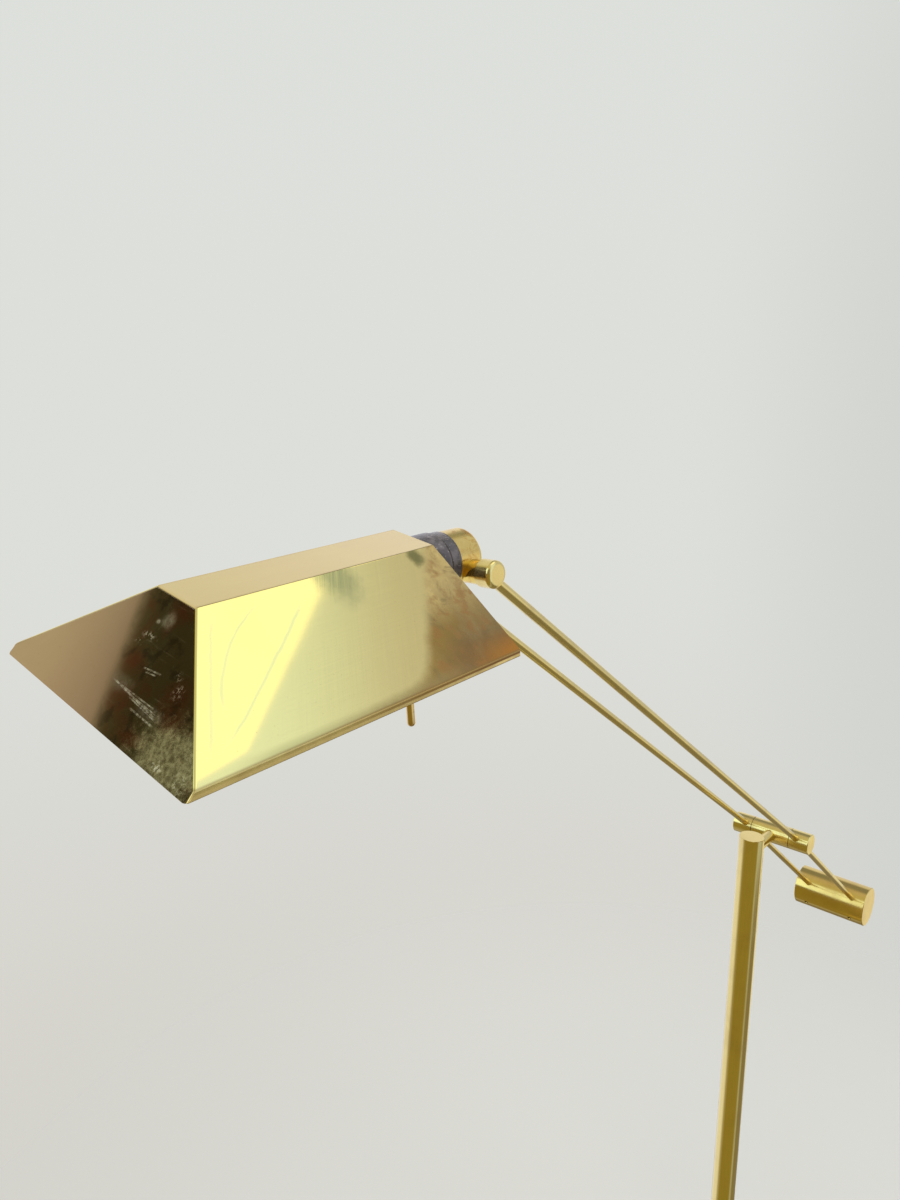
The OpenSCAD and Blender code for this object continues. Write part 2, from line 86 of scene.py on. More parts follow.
# ---------------------------------------------------------------- materials
class Mat:
    """A node material with one Principled shader. Fixed numbers go straight on its sockets."""

    def __init__(self, name, **fixed):
        self.m = bpy.data.materials.new(name)
        self.m.use_nodes = True
        self.t = self.m.node_tree
        self.t.nodes.clear()
        out = self.t.nodes.new("ShaderNodeOutputMaterial")
        self.b = self.t.nodes.new("ShaderNodeBsdfPrincipled")
        self.t.links.new(self.b.outputs["BSDF"], out.inputs["Surface"])
        for key, value in fixed.items():
            self.b.inputs[key.replace("_", " ")].default_value = value

    def add(self, kind, ins=None, **props):
        n = self.t.nodes.new("ShaderNode" + kind)
        for key, value in props.items():
            setattr(n, key, value)
        for key, value in (ins or {}).items():
            if isinstance(value, bpy.types.NodeSocket):
                self.t.links.new(value, n.inputs[key])
            else:
                n.inputs[key].default_value = value
        return n

    def set(self, socket, value):
        self.t.links.new(value, self.b.inputs[socket])

    def coords(self):
        return self.add("TexCoord").outputs["Object"]

    def mapped(self, vec, scale=(1, 1, 1), loc=(0, 0, 0), rot=(0, 0, 0)):
        return self.add(
            "Mapping", {"Vector": vec, "Scale": scale, "Location": loc, "Rotation": rot}
        ).outputs[0]

    def xyz(self, vec):
        return self.add("SeparateXYZ", {0: vec}).outputs

    def join(self, x, y, z):
        return self.add("CombineXYZ", {0: x, 1: y, 2: z}).outputs[0]

    def calc(self, op, a, b=0.0, c=0.0, clamp=False):
        n = self.add("Math", {0: a}, operation=op, use_clamp=clamp)
        for i, v in ((1, b), (2, c)):
            if i < len(n.inputs):
                if isinstance(v, bpy.types.NodeSocket):
                    self.t.links.new(v, n.inputs[i])
                else:
                    n.inputs[i].default_value = v
        return n.outputs[0]

    def noise(self, vec, scale, detail=4.0, rough=0.55, twist=0.0):
        return self.add(
            "TexNoise",
            {
                "Vector": vec,
                "Scale": scale,
                "Detail": detail,
                "Roughness": rough,
                "Distortion": twist,
            },
        ).outputs["Fac"]

    def step(self, value, lo, hi, a=0.0, b=1.0):
        return self.add(
            "MapRange",
            {
                "Value": value,
                "From Min": lo,
                "From Max": hi,
                "To Min": a,
                "To Max": b,
            },
            interpolation_type="SMOOTHSTEP",
        ).outputs[0]

    def line(self, value, lo, hi, a=0.0, b=1.0):
        return self.add(
            "MapRange",
            {
                "Value": value,
                "From Min": lo,
                "From Max": hi,
                "To Min": a,
                "To Max": b,
            },
        ).outputs[0]

    def mix(self, fac, a, b, blend="MIX"):
        n = self.add("Mix", data_type="RGBA", blend_type=blend)
        for i, v in ((0, fac), (6, a), (7, b)):
            if isinstance(v, bpy.types.NodeSocket):
                self.t.links.new(v, n.inputs[i])
            else:
                n.inputs[i].default_value = (*v, 1.0) if i else v
        return n.outputs[2]

    def bump(self, height, strength, distance, normal=None):
        ins = {"Height": height, "Strength": strength, "Distance": distance}
        if normal is not None:
            ins["Normal"] = normal
        return self.add("Bump", ins).outputs[0]

    def shade_frame(self, vec):
        """Object coordinates turned into the shade's own frame, in metres."""
        back = SHADE.inverted()
        return self.mapped(
            vec, rot=tuple(back.to_euler("XYZ")), loc=tuple(back.translation * MM)
        )

    def spot(self, u, v, cu, cv, ru, rv, warp=None, amount=0.35):
        """A soft oval of 1 in 0, with a ragged edge."""
        du = self.calc("DIVIDE", self.calc("SUBTRACT", u, cu), ru)
        dv = self.calc("DIVIDE", self.calc("SUBTRACT", v, cv), rv)
        d = self.calc(
            "SQRT",
            self.calc("ADD", self.calc("MULTIPLY", du, du), self.calc("MULTIPLY", dv, dv)),
        )
        if warp is not None:
            d = self.calc("MULTIPLY_ADD", self.calc("SUBTRACT", warp, 0.5), amount * 4, d)
        return self.step(d, 1.15, 0.35)

    def scratch(self, u, v, a, b, width, breaks):
        """A fine straight mark from a to b, broken up along its length."""
        (u0, v0), (u1, v1) = a, b
        ln = math.hypot(u1 - u0, v1 - v0)
        tu, tv = (u1 - u0) / ln, (v1 - v0) / ln
        pu, pv = self.calc("SUBTRACT", u, u0), self.calc("SUBTRACT", v, v0)
        along = self.calc(
            "MULTIPLY_ADD", pu, tu, self.calc("MULTIPLY", pv, tv)
        )
        across = self.calc(
            "ABSOLUTE",
            self.calc("MULTIPLY_ADD", pu, -tv, self.calc("MULTIPLY", pv, tu)),
        )
        body = self.step(across, width, width * 0.25)
        ends = self.calc(
            "MULTIPLY",
            self.step(along, 0.0, ln * 0.15),
            self.step(along, ln, ln * 0.8),
        )
        return self.calc("MULTIPLY", self.calc("MULTIPLY", body, ends), breaks)


def brass(
    name,
    tint=(0.90, 0.73, 0.29),
    dull=(0.62, 0.43, 0.16),
    rough=0.10,
    tarnish=0.45,
    grain=(60, 60, 60),
    grain_depth=0.04,
    shift=(0, 0, 0),
):
    """Polished brass with handling tarnish, fine polishing lines and small specks."""
    m = Mat(name, Metallic=1.0)
    p = m.mapped(m.coords(), loc=shift)
    cloud = m.noise(p, 14, 6, 0.6, 0.4)
    haze = m.noise(p, 55, 5, 0.6)
    dirt = m.step(cloud, 0.46, 0.72)
    specks = m.step(m.noise(p, 900, 2, 0.5), 0.70, 0.78)
    lines = m.noise(m.mapped(p, scale=grain), 20, 3, 0.6)
    c = m.mix(m.calc("MULTIPLY", dirt, tarnish), tint, dull)
    c = m.mix(m.line(haze, 0.3, 0.75, 0.0, 0.22), c, tuple(0.82 * v for v in tint))
    c = m.mix(m.line(lines, 0.35, 0.70, 0.0, 0.20), c, dull)
    c = m.mix(m.calc("MULTIPLY", specks, 0.35), c, (0.30, 0.19, 0.07))
    m.set("Base Color", c)
    r = m.calc("MULTIPLY_ADD", dirt, 0.13, rough)
    r = m.calc("MULTIPLY_ADD", haze, 0.06, r)
    r = m.calc("MULTIPLY_ADD", specks, 0.12, r)
    m.set("Roughness", r)
    m.set("Normal", m.bump(lines, grain_depth, 0.0004))
    return m.m


def shade_skin(name, kind):
    """Aged sheet brass of the shade. Each face has its own wear, and the near side and the lip also carry painted
    shade, painted highlights and painted reflections, laid out in the shade's own frame.
    """
    m = Mat(name, Metallic=0.6 if kind == "lip" else 1.0)
    q = m.shade_frame(m.coords())
    x, y, z = m.xyz(q)
    cloud = m.noise(q, 22, 6, 0.6, 0.5)
    ragged = m.noise(q, 90, 5, 0.6)
    fine = m.noise(q, 420, 4, 0.6)
    specks = m.step(m.noise(q, 1100, 2, 0.5), 0.69, 0.76)
    clean, brown = (0.90, 0.76, 0.30), (0.38, 0.25, 0.105)
    normal = None
    if kind == "near":
        v = m.calc("MULTIPLY", m.calc("SUBTRACT", z, LIP_H * MM), 84.14 / 46.3)
        # brown tarnish behind a slanting line, running on in a thin band along the lower fold
        side = m.calc(
            "DIVIDE",
            m.calc("SUBTRACT", m.calc("MULTIPLY_ADD", v, 0.752, x), 0.0786),
            1.251,
        )
        low = m.calc(
            "ADD", v, m.calc("MULTIPLY_ADD", m.calc("SUBTRACT", x, 0.09), 0.08, -0.0035)
        )
        d = m.calc("SMOOTH_MIN", side, low, 0.014)
        d = m.calc("MULTIPLY_ADD", m.calc("SUBTRACT", ragged, 0.5), 0.005, d)
        tarn = m.step(d, 0.0040, -0.0045)
        inside = m.step(d, -0.002, -0.030)
        drip = m.noise(m.mapped(q, scale=(1.0, 0.10, 0.10)), 120, 4, 0.6)
        b = m.mix(m.step(v, 0.058, 0.028), (0.90, 0.66, 0.25), (0.43, 0.27, 0.07))
        b = m.mix(m.calc("MULTIPLY", inside, m.step(v, 0.045, 0.012)), b, (0.30, 0.185, 0.075))
        b = m.mix(m.calc("MULTIPLY", m.step(cloud, 0.44, 0.60), 0.45), b, (0.52, 0.385, 0.165))
        b = m.mix(m.calc("MULTIPLY", m.step(ragged, 0.50, 0.64), 0.60), b, (0.46, 0.225, 0.07))
        stain = m.noise(m.mapped(q, loc=(0.2, 0.6, 0.1)), 48, 6, 0.65, 0.7)
        b = m.mix(m.calc("MULTIPLY", m.step(stain, 0.50, 0.64), 0.6), b, (0.30, 0.215, 0.085))
        b = m.mix(m.calc("MULTIPLY", m.step(stain, 0.46, 0.34), 0.5), b, (0.44, 0.235, 0.085))
        b = m.mix(m.line(drip, 0.38, 0.66, 0.0, 0.22), b, (0.27, 0.17, 0.065))
        rust = m.calc(
            "MULTIPLY",
            m.step(m.calc("MULTIPLY_ADD", ragged, 0.012, v), 0.026, 0.006),
            m.step(m.calc("MULTIPLY_ADD", cloud, 0.03, x), 0.066, 0.018),
        )
        b = m.mix(m.calc("MULTIPLY", rust, 0.85), b, (0.62, 0.26, 0.045))
        fold = m.calc("MULTIPLY", m.step(v, 0.010, 0.002), m.step(x, 0.030, 0.075))
        b = m.mix(m.calc("MULTIPLY", fold, 0.6), b, (0.46, 0.33, 0.13))
        # brushed both ways, warmer towards the tarnish
        hatch = m.noise(m.join(m.calc("MULTIPLY_ADD", v, 0.6, x), m.calc("MULTIPLY", v, 0.012), 0.0), 1500, 3, 0.6)
        cross = m.noise(m.mapped(q, scale=(0.012, 1.0, 1.0)), 1700, 3, 0.6)
        c = m.mix(m.step(side, 0.075, 0.004), (0.92, 0.80, 0.325), (0.865, 0.695, 0.28))
        veil = m.step(side, 0.10, 0.05)
        c = m.mix(m.calc("MULTIPLY", m.line(hatch, 0.38, 0.64, 0.0, 0.12), veil), c, (0.62, 0.52, 0.22))
        c = m.mix(m.calc("MULTIPLY", m.line(cross, 0.38, 0.64, 0.0, 0.10), veil), c, (0.66, 0.55, 0.24))
        c = m.mix(m.calc("MULTIPLY", m.step(cloud, 0.48, 0.75), 0.16), c, (0.68, 0.58, 0.25))
        # three faint wandering streaks in the cleanest part: painted reflection of folds in the overhead light's cloth
        for a2, a1, a0, v0, v1, w, k in (
            (-0.0020, -0.4026, 209.9, 8.0, 80.0, 1.8, 0.42),
            (-0.0157, 0.6640, 183.3, 26.0, 80.0, 1.9, 0.50),
            (0.0044, -1.7225, 218.5, 10.0, 74.0, 2.4, 0.55),
        ):
            vm = m.calc("MULTIPLY", v, 1000.0)
            at = m.calc("MULTIPLY_ADD", m.calc("MULTIPLY_ADD", vm, a2, a1), vm, a0)
            at = m.calc("MULTIPLY_ADD", m.calc("SUBTRACT", cloud, 0.5), 9.0, at)
            off = m.calc("ABSOLUTE", m.calc("MULTIPLY_ADD", x, 1000.0, m.calc("MULTIPLY", at, -1.0)))
            on = m.calc("MULTIPLY", m.step(off, w, 0.2), m.calc("MULTIPLY", m.step(vm, v0, v0 + 10), m.step(vm, v1, v1 - 10)))
            c = m.mix(m.calc("MULTIPLY", on, k), c, (0.43, 0.57, 0.36))
        # painted reflection of a dark band beside the overhead light, on a slightly rougher patch
        painted_dark_reflection = m.calc("MULTIPLY", m.spot(x, v, 0.089, 0.085, 0.016, 0.027, ragged, 0.15), m.line(hatch, 0.35, 0.65, 0.7, 1.0))
        c = m.mix(m.calc("MULTIPLY", painted_dark_reflection, 0.85), c, (0.27, 0.30, 0.15))
        c = m.mix(tarn, c, b)
        green = m.spot(x, v, 0.027, 0.0785, 0.0070, 0.0075, ragged)
        c = m.mix(m.calc("MULTIPLY", green, 0.80), c, (0.17, 0.165, 0.055))
        # painted shade where the sheet turns into the lower bend
        bend = m.calc("MULTIPLY", m.step(v, 0.0060, 0.0005), m.step(x, 0.208, 0.170))
        bend = m.calc("MULTIPLY", bend, m.calc("SUBTRACT", 1.0, tarn))
        c = m.mix(m.calc("MULTIPLY", bend, 0.50), c, (0.42, 0.35, 0.13))
        # a darker painted line of shade right at the fold
        edge = m.step(v, 0.0016, 0.0)
        c = m.mix(m.calc("MULTIPLY", edge, 0.65), c, (0.36, 0.22, 0.075))
        rough = m.calc("MULTIPLY_ADD", tarn, 0.14, 0.045)
        rough = m.calc("MULTIPLY_ADD", veil, 0.03, rough)
        rough = m.calc("MULTIPLY_ADD", painted_dark_reflection, 0.15, rough)
        slow = m.noise(m.mapped(q, scale=(1.0, 0.6, 0.6)), 14, 1, 0.4)
        normal = m.bump(slow, 0.05, 0.0008)
    elif kind == "front":
        s = m.calc("MULTIPLY", z, 1.41)
        # the worn, mottled part lies to the right of a slanting line
        worn = m.step(m.calc("ADD", y, m.calc("MULTIPLY_ADD", s, 0.485, -0.0095)), -0.006, 0.008)
        blot = m.noise(q, 75, 5, 0.65, 0.9)
        blot2 = m.noise(m.mapped(q, loc=(0.3, 0.1, 0.2)), 130, 5, 0.7, 0.6)
        patch = m.step(blot2, 0.36, 0.58)
        red = m.calc("MULTIPLY", m.step(blot, 0.52, 0.66), 0.55)
        for cu, cv, ru, rv in (
            (0.0125, 0.0672, 0.012, 0.008),
            (0.0025, 0.0349, 0.012, 0.008),
            (0.0115, 0.0162, 0.014, 0.009),
            (0.0443, 0.0314, 0.013, 0.012),
            (0.0506, 0.0238, 0.012, 0.009),
            (0.0336, 0.0060, 0.013, 0.005),
        ):
            stain = m.spot(y, s, cu, cv, ru, rv, blot2, 0.6)
            red = m.calc("MAXIMUM", red, m.calc("MULTIPLY", stain, m.line(patch, 0.0, 1.0, 0.45, 1.0)))
        red = m.calc("MULTIPLY", red, worn)
        olive = m.calc("MULTIPLY", m.step(m.noise(m.mapped(q, loc=(0.7, 0.4, 0.1)), 60, 5, 0.65, 0.7), 0.48, 0.64), worn)
        corner = m.calc("MULTIPLY", m.spot(y, s, 0.066, 0.008, 0.034, 0.021, blot2, 0.40), m.line(fine, 0.3, 0.65, 0.45, 1.0))
        corner = m.calc("MULTIPLY", corner, worn)
        c = m.mix(m.step(y, -0.075, 0.0), (0.82, 0.625, 0.295), (0.74, 0.52, 0.26))
        c = m.mix(m.calc("MULTIPLY", m.step(cloud, 0.45, 0.75), 0.18), c, (0.60, 0.46, 0.21))
        c = m.mix(m.calc("MULTIPLY", worn, 0.92), c, (0.25, 0.185, 0.05))
        c = m.mix(m.calc("MULTIPLY", olive, 0.75), c, (0.25, 0.215, 0.07))
        c = m.mix(m.calc("MULTIPLY", red, 0.88), c, (0.30, 0.10, 0.028))
        c = m.mix(m.calc("MULTIPLY", m.calc("MULTIPLY", worn, m.step(ragged, 0.48, 0.36)), 0.6), c, (0.10, 0.075, 0.025))
        c = m.mix(m.calc("MULTIPLY", corner, 0.8), c, (0.66, 0.58, 0.27))
        gaps = m.line(m.noise(q, 500, 3, 0.6), 0.34, 0.60, 0.25, 1.0)
        scuff = m.scratch(y, s, (-0.0037, 0.0231), (0.0444, 0.0193), 0.0008, gaps)
        for a, b, w in (
            ((0.0209, 0.0166), (0.0440, 0.0161), 0.0008),
            ((0.0118, 0.0349), (0.0274, 0.0370), 0.0007),
            ((0.0150, 0.0338), (0.0240, 0.0350), 0.0006),
            ((-0.0009, 0.0226), (0.0418, 0.0226), 0.0006),
            ((0.0048, 0.0219), (0.0430, 0.0208), 0.0006),
            ((0.0150, 0.0205), (0.0450, 0.0185), 0.0006),
        ):
            scuff = m.calc("MAXIMUM", scuff, m.calc("MULTIPLY", m.scratch(y, s, a, b, w, gaps), 0.8))
        nib = m.step(m.noise(q, 620, 3, 0.65), 0.50, 0.60)
        for cu, cv, ru, rv, k, grain in (
            (0.0063, 0.0596, 0.006, 0.006, 0.45, m.line(fine, 0.3, 0.6, 0.5, 1.0)),
            (0.0004, 0.0567, 0.0024, 0.0018, 0.7, m.line(fine, 0.3, 0.6, 0.5, 1.0)),
            (0.0018, 0.0487, 0.0072, 0.0026, 0.75, nib),
            (-0.0030, 0.0440, 0.0040, 0.0024, 0.7, nib),
            (0.0431, 0.0347, 0.0045, 0.0055, 0.5, nib),
            (0.0380, 0.0410, 0.0035, 0.0035, 0.4, nib),
            (0.0602, 0.0045, 0.0050, 0.0024, 1.0, nib),
            (0.0776, 0.0050, 0.0070, 0.0050, 0.5, nib),
            (0.0360, 0.0200, 0.0130, 0.0040, 0.30, m.line(fine, 0.3, 0.6, 0.5, 1.0)),
            (0.0060, 0.0235, 0.0110, 0.0060, 0.28, m.line(fine, 0.3, 0.6, 0.4, 1.0)),
        ):
            mark = m.calc("MULTIPLY", m.calc("MULTIPLY", m.spot(y, s, cu, cv, ru, rv, ragged), k), grain)
            scuff = m.calc("MAXIMUM", scuff, mark)
        hair = m.noise(m.mapped(q, scale=(1, 0.05, 1), rot=(0.12, 0, 0)), 500, 3, 0.6)
        hair = m.calc("MULTIPLY", m.step(hair, 0.62, 0.76), m.line(worn, 0.0, 1.0, 0.06, 0.22))
        scuff = m.calc("MAXIMUM", scuff, hair)
        c = m.mix(m.calc("MULTIPLY", scuff, 0.75), c, (0.74, 0.68, 0.50))
        rough = m.calc("MULTIPLY_ADD", scuff, 0.34, 0.085)
        rough = m.calc("MULTIPLY_ADD", red, 0.03, rough)
        rough = m.calc("MULTIPLY_ADD", olive, 0.03, rough)
        rough = m.calc("MULTIPLY_ADD", corner, 0.22, rough)
        slow = m.noise(q, 14, 1, 0.4)
        normal = m.bump(slow, 0.05, 0.0008)
    elif kind == "top":
        c = m.mix(m.step(x, 0.02, 0.17), (0.865, 0.685, 0.335), (0.86, 0.675, 0.32))
        c = m.mix(m.calc("MULTIPLY", m.step(cloud, 0.42, 0.72), 0.14), c, (0.76, 0.59, 0.30))
        brushed = m.noise(m.mapped(q, scale=(0.03, 1, 1)), 500, 3, 0.6)
        c = m.mix(m.line(brushed, 0.35, 0.70, 0.0, 0.10), c, (0.68, 0.52, 0.26))
        rim = m.step(m.calc("ABSOLUTE", y), 0.0155, 0.0177)
        c = m.mix(m.calc("MULTIPLY", rim, m.line(ragged, 0.35, 0.65, 0.15, 0.55)), c, (0.56, 0.39, 0.16))
        rough = m.calc("MULTIPLY_ADD", cloud, 0.06, 0.16)
    elif kind == "lip":
        c = m.mix(m.step(x, 0.17, 0.07), (0.88, 0.72, 0.27), (0.36, 0.19, 0.045))
        c = m.mix(m.calc("MULTIPLY", m.step(cloud, 0.42, 0.66), 0.4), c, (0.48, 0.33, 0.13))
        c = m.mix(m.line(ragged, 0.40, 0.70, 0.0, 0.40), c, (0.42, 0.25, 0.09))
        c = m.mix(m.step(x, 0.07, 0.02, 0.0, 0.85), c, (0.18, 0.06, 0.005))
        # painted shade in the bend, a painted highlight along the lower edge as on a rounded hem, and a painted dark
        # line of shade along the bottom edge
        c = m.mix(m.step(z, 0.0032, 0.0042, 0.0, 0.55), c, (0.40, 0.30, 0.10))
        painted_hem_highlight = m.calc("MULTIPLY", m.step(z, 0.0003, 0.0009), m.step(z, 0.0029, 0.0019))
        c = m.mix(m.calc("MULTIPLY", painted_hem_highlight, m.line(ragged, 0.35, 0.65, 0.95, 0.60)), c, (0.98, 0.77, 0.33))
        c = m.mix(m.step(z, 0.0006, 0.0002, 0.0, 0.8), c, (0.26, 0.17, 0.06))
        rough = m.calc("MULTIPLY_ADD", cloud, 0.14, 0.10)
    elif kind == "far":
        tarn = m.step(m.calc("MULTIPLY_ADD", m.calc("SUBTRACT", cloud, 0.5), 0.12, x), 0.055, 0.015)
        edge = m.step(z, 0.012, 0.005)
        c = m.mix(m.step(cloud, 0.45, 0.75, 0.0, 0.5), clean, (0.66, 0.52, 0.21))
        c = m.mix(m.calc("MULTIPLY", tarn, 0.85), c, brown)
        c = m.mix(m.calc("MULTIPLY", edge, 0.5), c, (0.52, 0.34, 0.13))
        rough = m.calc("MULTIPLY_ADD", tarn, 0.14, 0.08)
        streak = m.noise(m.mapped(q, scale=(1.0, 0.03, 0.03)), 260, 3, 0.6)
        normal = m.bump(m.noise(q, 22, 2, 0.5), 0.10, 0.0012)
        normal = m.bump(streak, 0.03, 0.0004, normal)
    else:  # inside
        c = m.mix(m.step(cloud, 0.40, 0.70), (0.80, 0.62, 0.25), (0.55, 0.38, 0.15))
        heat = m.spot(x, y, 0.105, 0.0, 0.075, 0.05, ragged, 0.2)
        c = m.mix(m.calc("MULTIPLY", heat, 0.35), c, (0.38, 0.22, 0.10))
        rough = m.calc("MULTIPLY_ADD", cloud, 0.18, 0.22)
    c = m.mix(m.calc("MULTIPLY", specks, 0.30), c, (0.22, 0.13, 0.05))
    m.set("Base Color", c)
    m.set("Roughness", m.calc("MULTIPLY_ADD", specks, 0.15, rough))
    if normal is None:
        normal = m.bump(m.noise(q, 24, 2, 0.5), 0.08, 0.0010)
    m.set("Normal", normal)
    return m.m


def phenolic():
    """Black moulded plastic, greyed and finely scratched by handling."""
    m = Mat("black_phenolic", IOR=1.55)
    p = m.coords()
    cloud = m.noise(p, 90, 5, 0.6, 0.3)
    hair = m.noise(m.mapped(p, scale=(0.3, 1, 1), rot=(0.2, 0.4, 0.1)), 800, 3, 0.6)
    nick = m.noise(m.mapped(p, scale=(1, 0.15, 0.6), rot=(0.5, 0.2, 0.3)), 420, 3, 0.6, 0.6)
    scuff = m.calc("MAXIMUM", m.step(hair, 0.60, 0.74), m.step(nick, 0.64, 0.74))
    c = m.mix(m.step(cloud, 0.35, 0.68), (0.030, 0.026, 0.028), (0.105, 0.088, 0.090))
    c = m.mix(m.calc("MULTIPLY", scuff, 0.65), c, (0.34, 0.31, 0.30))
    m.set("Base Color", c)
    r = m.calc("MULTIPLY_ADD", cloud, 0.16, 0.19)
    m.set("Roughness", m.calc("MULTIPLY_ADD", scuff, 0.2, r))
    m.set("Normal", m.bump(m.noise(p, 1400, 3, 0.6), 0.06, 0.0003))
    return m.m


def washer():
    """Dark oiled fibre of the thin washers and bushes."""
    m = Mat("dark_washer", IOR=1.5)
    p = m.coords()
    cloud = m.noise(p, 160, 4, 0.6)
    m.set("Base Color", m.mix(m.step(cloud, 0.35, 0.7), (0.085, 0.060, 0.025), (0.15, 0.11, 0.05)))
    m.set("Roughness", m.calc("MULTIPLY_ADD", cloud, 0.15, 0.35))
    m.set("Normal", m.bump(m.noise(p, 900, 3, 0.6), 0.05, 0.0003))
    return m.m


def patina(name, tint, dull, rust, rough, shift):
    """Brass handled for years: cloudy tarnish, orange-brown blotches and a few clean rubbed places."""
    m = Mat(name, Metallic=1.0)
    p = m.mapped(m.coords(), loc=shift)
    cloud = m.noise(p, 40, 6, 0.6, 0.5)
    blot = m.noise(p, 95, 5, 0.65, 0.9)
    fine = m.noise(p, 420, 4, 0.6)
    specks = m.step(m.noise(p, 1000, 2, 0.5), 0.68, 0.76)
    dirt = m.step(cloud, 0.44, 0.64)
    burn = m.step(blot, 0.53, 0.66)
    c = m.mix(m.calc("MULTIPLY", dirt, 0.6), tint, dull)
    c = m.mix(m.calc("MULTIPLY", burn, 0.7), c, rust)
    c = m.mix(m.line(fine, 0.35, 0.7, 0.0, 0.25), c, dull)
    c = m.mix(m.calc("MULTIPLY", specks, 0.4), c, (0.22, 0.13, 0.05))
    m.set("Base Color", c)
    r = m.calc("MULTIPLY_ADD", dirt, 0.10, rough)
    r = m.calc("MULTIPLY_ADD", burn, 0.10, r)
    m.set("Roughness", m.calc("MULTIPLY_ADD", specks, 0.12, r))
    m.set("Normal", m.bump(m.noise(p, 30, 2, 0.5), 0.05, 0.0006))
    return m.m


def steel():
    m = Mat("steel", Metallic=1.0)
    p = m.coords()
    cloud = m.noise(p, 60, 5, 0.6)
    lines = m.noise(m.mapped(p, scale=(1, 1, 12)), 160, 3, 0.6)
    c = m.mix(m.step(cloud, 0.35, 0.7), (0.60, 0.59, 0.57), (0.45, 0.44, 0.42))
    m.set("Base Color", c)
    m.set("Roughness", m.calc("MULTIPLY_ADD", cloud, 0.2, 0.2))
    m.set("Normal", m.bump(lines, 0.08, 0.0003))
    return m.m


def iron():
    m = Mat("cast_iron", Metallic=0.6)
    p = m.coords()
    cloud = m.noise(p, 40, 6, 0.65)
    c = m.mix(m.step(cloud, 0.35, 0.7), (0.07, 0.067, 0.064), (0.13, 0.09, 0.065))
    m.set("Base Color", c)
    m.set("Roughness", m.calc("MULTIPLY_ADD", cloud, 0.25, 0.55))
    m.set("Normal", m.bump(m.noise(p, 350, 4, 0.6), 0.4, 0.0006))
    return m.m


def felt():
    m = Mat("felt")
    m.b.inputs["Sheen Weight"].default_value = 0.5
    p = m.coords()
    fuzz = m.noise(p, 700, 5, 0.7, 0.6)
    c = m.mix(m.step(fuzz, 0.3, 0.7), (0.030, 0.050, 0.034), (0.062, 0.090, 0.066))
    m.set("Base Color", c)
    m.set("Roughness", m.calc("MULTIPLY_ADD", fuzz, 0.1, 0.88))
    m.set("Normal", m.bump(fuzz, 0.6, 0.0008))
    return m.m


def nylon():
    m = Mat("nylon", IOR=1.5)
    m.b.inputs["Subsurface Weight"].default_value = 0.1
    p = m.coords()
    cloud = m.noise(p, 120, 4, 0.6)
    c = m.mix(m.step(cloud, 0.35, 0.7), (0.62, 0.58, 0.47), (0.50, 0.45, 0.34))
    m.set("Base Color", c)
    m.set("Roughness", m.calc("MULTIPLY_ADD", cloud, 0.15, 0.35))
    m.set("Normal", m.bump(m.noise(p, 900, 3, 0.6), 0.05, 0.0003))
    return m.m


def wire():
    m = Mat("wire", IOR=1.48)
    p = m.coords()
    cloud = m.noise(p, 160, 4, 0.6)
    c = m.mix(m.step(cloud, 0.35, 0.7), (0.10, 0.07, 0.045), (0.17, 0.12, 0.075))
    m.set("Base Color", c)
    m.set("Roughness", m.calc("MULTIPLY_ADD", cloud, 0.2, 0.4))
    m.set("Normal", m.bump(m.noise(p, 800, 3, 0.6), 0.2, 0.0004))
    return m.m


def glass():
    m = Mat("frosted_glass", IOR=1.45)
    m.b.inputs["Transmission Weight"].default_value = 0.35
    m.b.inputs["Subsurface Weight"].default_value = 0.25
    p = m.coords()
    cloud = m.noise(p, 90, 4, 0.6)
    c = m.mix(m.step(cloud, 0.3, 0.7), (0.88, 0.88, 0.86), (0.80, 0.80, 0.77))
    m.set("Base Color", c)
    m.set("Roughness", m.calc("MULTIPLY_ADD", cloud, 0.12, 0.42))
    m.set("Normal", m.bump(m.noise(p, 1500, 2, 0.5), 0.05, 0.0002))
    return m.m


M = {
    "rod": brass("brass_rod", rough=0.13, tarnish=0.6, grain=(8, 60, 8), dull=(0.60, 0.46, 0.21)),
    "tube": brass("brass_tube", rough=0.09, tarnish=0.35, grain=(60, 60, 2)),
    "turned": brass("brass_turned", rough=0.12, tarnish=0.45, grain=(60, 4, 60), shift=(0.31, 0.2, 0.1)),
    "cap": patina("brass_cap", (0.98, 0.76, 0.26), (0.74, 0.53, 0.18), (0.64, 0.33, 0.075), 0.12, (0.7, 0.1, 0.4)),
    "barrel": patina("brass_barrel", (0.88, 0.66, 0.17), (0.66, 0.42, 0.09), (0.50, 0.23, 0.04), 0.07, (0.2, 0.5, 0.3)),
    "stem": patina("brass_stem", (0.76, 0.53, 0.21), (0.56, 0.36, 0.13), (0.47, 0.23, 0.08), 0.16, (0.4, 0.9, 0.1)),
    "weight": brass("brass_weight", tint=(0.84, 0.63, 0.21), dull=(0.58, 0.36, 0.11), rough=0.10, tarnish=0.45, grain=(60, 3, 60), shift=(0.1, 0.6, 0.2)),
    "foot": brass("brass_foot", rough=0.12, tarnish=0.4, grain=(40, 40, 40), shift=(0.5, 0.5, 0.9)),
    "inner": brass("brass_inner", rough=0.22, tarnish=0.7, dull=(0.5, 0.36, 0.15)),
    "shade_near": shade_skin("shade_near", "near"),
    "shade_far": shade_skin("shade_far", "far"),
    "shade_top": shade_skin("shade_top", "top"),
    "shade_lip": shade_skin("shade_lip", "lip"),
    "shade_front": shade_skin("shade_front", "front"),
    "shade_inside": shade_skin("shade_inside", "inside"),
    "phenolic": phenolic(),
    "washer": washer(),
    "steel": steel(),
    "iron": iron(),
    "felt": felt(),
    "nylon": nylon(),
    "wire": wire(),
    "glass": glass(),
}

